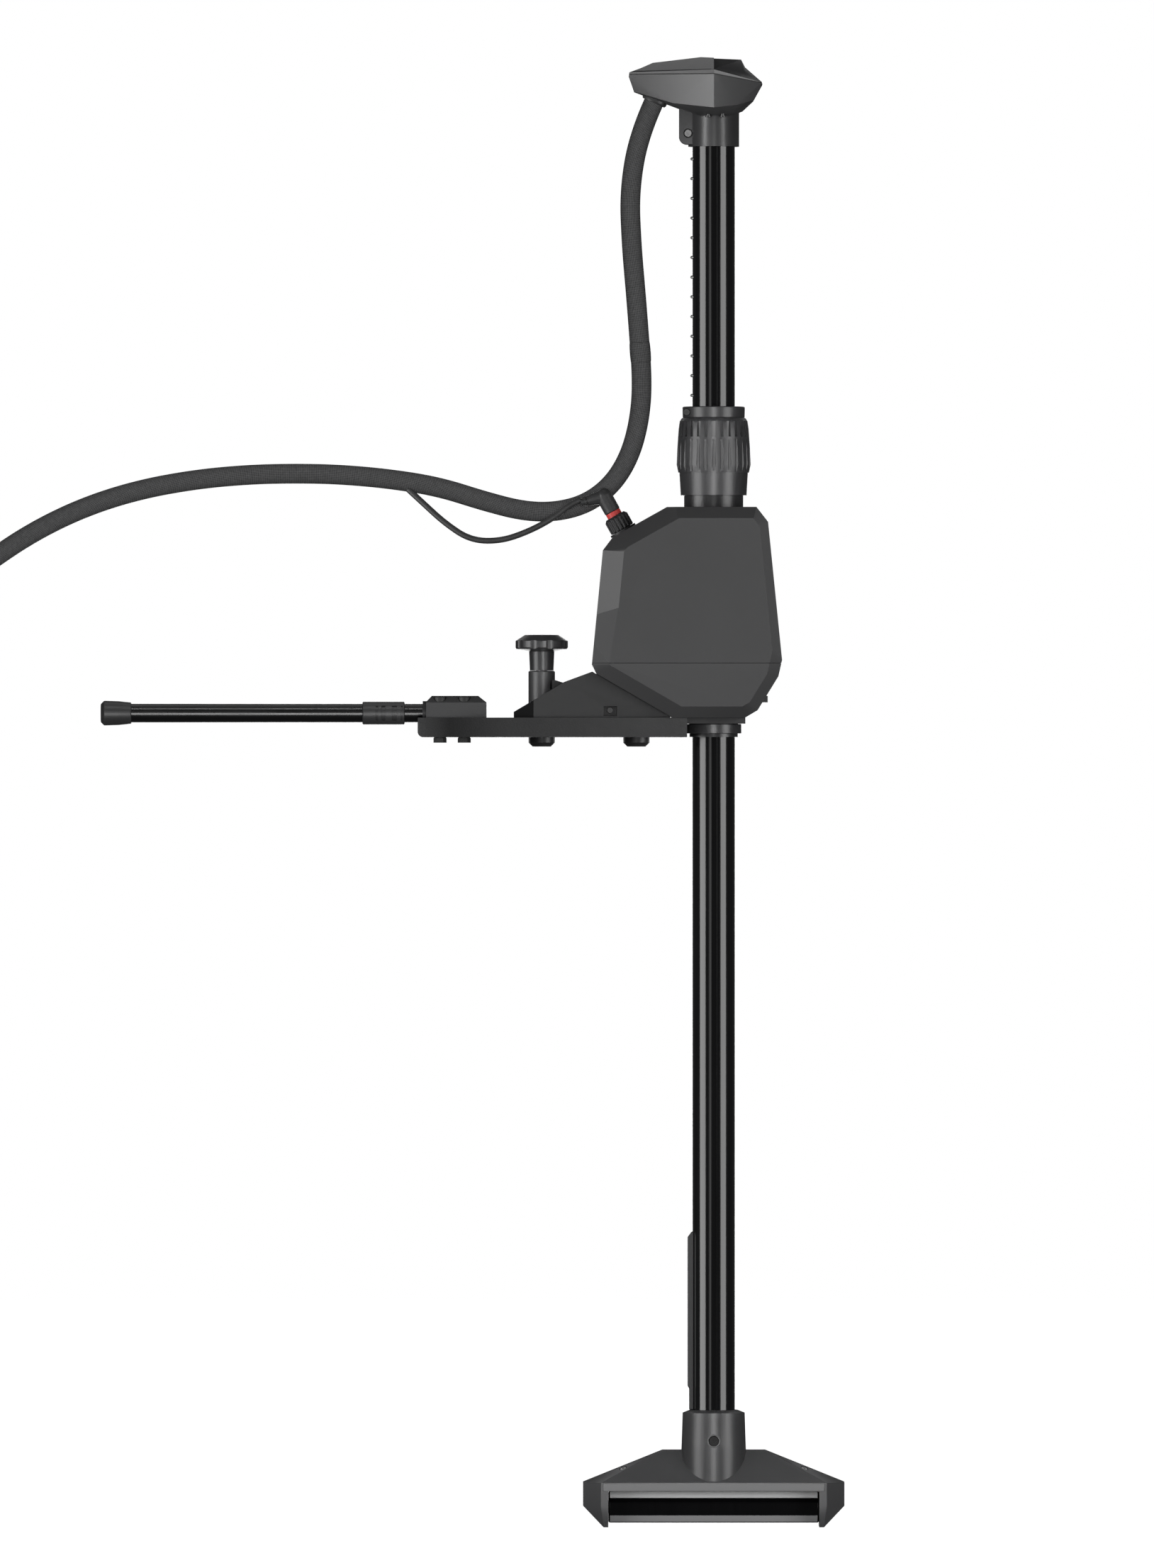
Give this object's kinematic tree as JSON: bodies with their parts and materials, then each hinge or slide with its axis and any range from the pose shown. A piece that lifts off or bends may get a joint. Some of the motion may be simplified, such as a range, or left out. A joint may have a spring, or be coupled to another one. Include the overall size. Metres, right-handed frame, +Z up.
{
  "type": "steering pole with transducer bar",
  "caption": "Bow-mounted motorised steering pole: a turning mast with a sensor head on top and a wide sonar transducer bar at its foot, on a quick-release base plate.",
  "frame": {"origin": "centre of the base plate's flat underside, where it rests on its deck bracket", "axes": "+Z up along the mast, +X from the handle rod towards the mast, -Y towards the viewer"},
  "size_m": [1.0369, 0.2449, 1.3151],
  "materials": {
    "mast_gloss": "smooth, gloss",
    "housing_plastic": "fine moulded texture",
    "head_plastic": "fine moulded texture",
    "bar_plastic": "fine moulded texture",
    "window_plastic": "smooth, gloss",
    "plate_metal": "satin powder coat",
    "bracket_plastic": "satin",
    "rod_tube": "black anodised, gloss",
    "knob_plastic": "satin",
    "collar_plastic": "satin",
    "sleeve_metal": "black anodised",
    "screw_steel": "plain",
    "black_screw": "black oxide",
    "spring_steel": "plain",
    "pin_steel": "ground",
    "bush_plastic": "machined",
    "gear_plastic": "moulded",
    "gear_brass": "machined",
    "motor_steel": "plated",
    "board_green": "lacquered",
    "seal_rubber": "moulded",
    "plug_plastic": "satin",
    "red_plastic": "moulded",
    "cord_rubber": "moulded",
    "braid": "woven sleeve"
  },
  "bodies": {
    "base": {"base_plate": "plate_metal", "wedge_bracket": "bracket_plastic", "wedge_screws": "black_screw", "lock_sleeve": "plate_metal", "lock_spring": "spring_steel", "handle_block": "bracket_plastic", "handle_bolts": "screw_steel", "handle_nuts": "screw_steel", "handle_rod": "rod_tube", "handle_coupler": "bracket_plastic", "handle_tip": "cord_rubber", "housing_base": "housing_plastic", "housing_cover": "housing_plastic", "housing_seal": "seal_rubber", "housing_screws": "screw_steel", "sleeve_bushes": "bush_plastic", "sleeve_seal": "seal_rubber", "drive_motor": "motor_steel", "motor_plate": "motor_steel", "position_sensor": "plug_plastic", "control_board": "board_green", "panel_socket": "plug_plastic", "plug_ring": "red_plastic", "plug_elbow": "plug_plastic", "lead_relief": "cord_rubber", "plug_lead": "cord_rubber", "hose_lower": "braid", "hose_coil": "braid", "hose_boot": "cord_rubber", "hose_plug": "plug_plastic"},
    "steering_column": {"steering_sleeve": "sleeve_metal", "lower_flange": "sleeve_metal", "drive_gear": "gear_plastic", "collet": "bush_plastic", "hose_band": "cord_rubber"},
    "collar": {"collar_nut": "collar_plastic"},
    "mast": {"mast_tube": "mast_gloss", "index_studs": "screw_steel", "mast_cable": "cord_rubber", "cable_guard": "collar_plastic", "head_lower_shell": "head_plastic", "head_upper_shell": "head_plastic", "head_seal": "seal_rubber", "head_screws": "screw_steel", "head_clamp_screw": "screw_steel", "hose_gland": "cord_rubber", "heading_board": "board_green", "hose_upper": "braid", "bar_housing": "bar_plastic", "array_window": "window_plastic", "array_core": "bush_plastic", "sonar_module": "plug_plastic", "bar_screws": "screw_steel"},
    "stop_ring": {"depth_ring": "collar_plastic", "depth_ring_screw": "screw_steel"},
    "lock": {"lock_knob": "knob_plastic", "lock_pin": "pin_steel"},
    "plug_lock": {"plug_nut": "plug_plastic"},
    "pinion": {"motor_pinion": "gear_brass"},
    "sensor_wheel": {"sensor_gear": "gear_plastic"}
  },
  "joints": [
    {"name": "steering", "type": "hinge", "parent": "base", "child": "steering_column", "pos_m": [0.111, 0, 0.1], "axis": [0, 0, 1], "range_deg": [-170, 170], "deforming": ["hose_lower"]},
    {"name": "depth_slide", "type": "slide", "parent": "steering_column", "child": "mast", "axis": [0, 0, 1], "range_m": [0, 0.44], "deforming": ["hose_upper"]},
    {"name": "depth_ring_slide", "type": "slide", "parent": "mast", "child": "stop_ring", "axis": [0, 0, 1], "range_m": [0, 0.23]},
    {"name": "collar_nut_turn", "type": "hinge", "parent": "steering_column", "child": "collar", "pos_m": [0.111, 0, 0.25], "axis": [0, 0, 1], "range_deg": [0, 90]},
    {"name": "lock_knob_pull", "type": "slide", "parent": "base", "child": "lock", "axis": [0, 0, 1], "range_m": [0, 0.01], "stiffness_N_per_m": 800, "springref_m": -0.02, "deforming": ["lock_spring"]},
    {"name": "plug_nut_turn", "type": "hinge", "parent": "base", "child": "plug_lock", "pos_m": [0.0304, -0.008, 0.1842], "axis": [-0.4879, 0, 0.8729], "range_deg": [0, 60]},
    {"name": "pinion_spin", "type": "hinge", "parent": "base", "child": "pinion", "pos_m": [0.054, 0, 0.065], "axis": [0, 0, 1], "range_deg": [-640, 640]},
    {"name": "sensor_spin", "type": "hinge", "parent": "base", "child": "sensor_wheel", "pos_m": [0.07176, 0.03924, 0.065], "axis": [0, 0, 1], "range_deg": [-730, 730]}
  ],
  "couplings": [
    {"joint": "pinion_spin", "follows": "steering", "ratio": -3.75},
    {"joint": "sensor_spin", "follows": "steering", "ratio": -4.2857}
  ]
}
